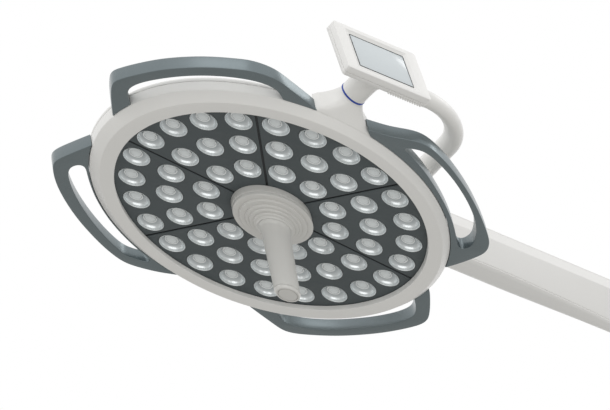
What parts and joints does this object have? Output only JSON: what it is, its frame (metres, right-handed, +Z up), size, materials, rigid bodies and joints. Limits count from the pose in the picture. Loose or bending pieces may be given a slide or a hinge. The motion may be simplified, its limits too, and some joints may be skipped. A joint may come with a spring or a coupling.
{
  "type": "surgical light",
  "caption": "Ceiling-mounted surgical light: round LED head with side yoke, control panel, removable sterile handle and balanced swivel arm.",
  "frame": {"origin": "centre of the upper face of the mount flange, on the rear swivel axis", "axes": "+Z up along the rear swivel axis; the head hangs at -X and -Y of the mount, its rim joint pointing 60 degrees clockwise from +X seen from above; the arm runs from the head to the mount at 23.5 degrees from +X towards +Y"},
  "size_m": [1.4864, 1.1508, 0.5667],
  "materials": {
    "white_paint": "smooth semi-gloss white paint",
    "white_plastic": "smooth white moulded plastic",
    "panel_grey": "fine matt dark grey",
    "lens_silver": "bright vapour-metallised reflector",
    "board_green": "circuit board",
    "handle_grey": "satin metallic blue-grey",
    "blue_ring": "smooth blue plastic",
    "screen_glass": "pale grey display behind satin glass",
    "steel": "ground steel",
    "bronze": "plain bearing bronze",
    "alloy": "extruded aluminium"
  },
  "bodies": {
    "ceiling_mount": {"mount_flange": "white_paint", "mount_spindle": "steel"},
    "rear_knuckle": {"rear_knuckle_housing": "white_paint", "rear_knuckle_cap": "white_plastic", "rear_bearing": "bronze", "rear_pivot_pin": "steel", "rear_tie_pin": "steel"},
    "arm": {"arm_beam": "alloy", "arm_lower_cover": "white_plastic", "arm_top_cover": "white_plastic", "arm_end_cap_front": "white_plastic", "arm_end_cap_rear": "white_plastic", "spring_cartridge": "steel", "spring_rod": "steel"},
    "tie_rod": {"tie_rod": "steel"},
    "front_knuckle": {"front_knuckle_housing": "white_paint", "front_spindle_bush": "bronze", "front_pivot_pin": "steel", "front_tie_pin": "steel"},
    "yoke": {"front_spindle": "steel", "yoke_tube": "white_paint", "yoke_block": "white_paint", "rim_joint_sleeve": "white_paint", "rim_blue_ring": "blue_ring", "rim_axle": "steel", "panel_back_cover": "white_plastic", "panel_bezel": "white_plastic", "panel_glass": "screen_glass", "panel_circuit_board": "board_green"},
    "head": {"head_front_ring": "white_paint", "head_back_cover": "white_paint", "yoke_boss": "white_paint", "heat_sink_plate": "alloy", "driver_board": "board_green", "hub_flange": "white_plastic", "grab_handle_top": "handle_grey", "grab_handle_right": "handle_grey", "grab_handle_left": "handle_grey", "grab_handle_bottom": "handle_grey", "face_panel_1": "panel_grey", "face_panel_2": "panel_grey", "face_panel_3": "panel_grey", "face_panel_4": "panel_grey", "face_panel_5": "panel_grey", "face_panel_6": "panel_grey", "lens_array_1": "lens_silver", "lens_array_2": "lens_silver", "lens_array_3": "lens_silver", "lens_array_4": "lens_silver", "lens_array_5": "lens_silver", "lens_array_6": "lens_silver", "led_board_1": "board_green", "led_board_2": "board_green", "led_board_3": "board_green", "led_board_4": "board_green", "led_board_5": "board_green", "led_board_6": "board_green"},
    "focus_shaft": {"focus_spindle": "steel"},
    "sterile_handle": {"sterile_handle": "white_plastic", "handle_end_cap": "white_plastic"}
  },
  "joints": [
    {"name": "rear_swivel", "type": "hinge", "parent": "ceiling_mount", "child": "rear_knuckle", "pos_m": [0, 0, -0.06], "axis": [0, 0, 1], "range_deg": [-160, 160]},
    {"name": "arm_tilt", "type": "hinge", "parent": "rear_knuckle", "child": "arm", "pos_m": [-0.06877, -0.02993, -0.13], "axis": [-0.3991, 0.9169, 0], "range_deg": [-45, 10]},
    {"name": "tie_rod_tilt", "type": "hinge", "parent": "rear_knuckle", "child": "tie_rod", "pos_m": [-0.06877, -0.02993, -0.1445], "axis": [-0.3991, 0.9169, 0], "range_deg": [-45, 10]},
    {"name": "front_level", "type": "hinge", "parent": "arm", "child": "front_knuckle", "pos_m": [-0.894, -0.38909, -0.13], "axis": [-0.3991, 0.9169, 0], "range_deg": [-10, 45]},
    {"name": "front_yaw", "type": "hinge", "parent": "front_knuckle", "child": "yoke", "pos_m": [-0.95818, -0.41703, -0.18], "axis": [0, 0, 1], "range_deg": [-90, 90]},
    {"name": "head_roll", "type": "hinge", "parent": "yoke", "child": "head", "pos_m": [-0.87119, -0.96725, -0.337], "axis": [0.5, -0.866, 0], "range_deg": [-100, 0]},
    {"name": "focus_turn", "type": "hinge", "parent": "head", "child": "focus_shaft", "pos_m": [-1.05119, -0.65548, -0.425], "axis": [0, 0, 1], "range_deg": [-60, 60]},
    {"name": "handle_pull_off", "type": "slide", "parent": "focus_shaft", "child": "sterile_handle", "axis": [0, 0, -1], "range_m": [0, 0.06]}
  ],
  "couplings": [
    {"joint": "tie_rod_tilt", "follows": "arm_tilt", "ratio": 1},
    {"joint": "front_level", "follows": "arm_tilt", "ratio": -1}
  ]
}
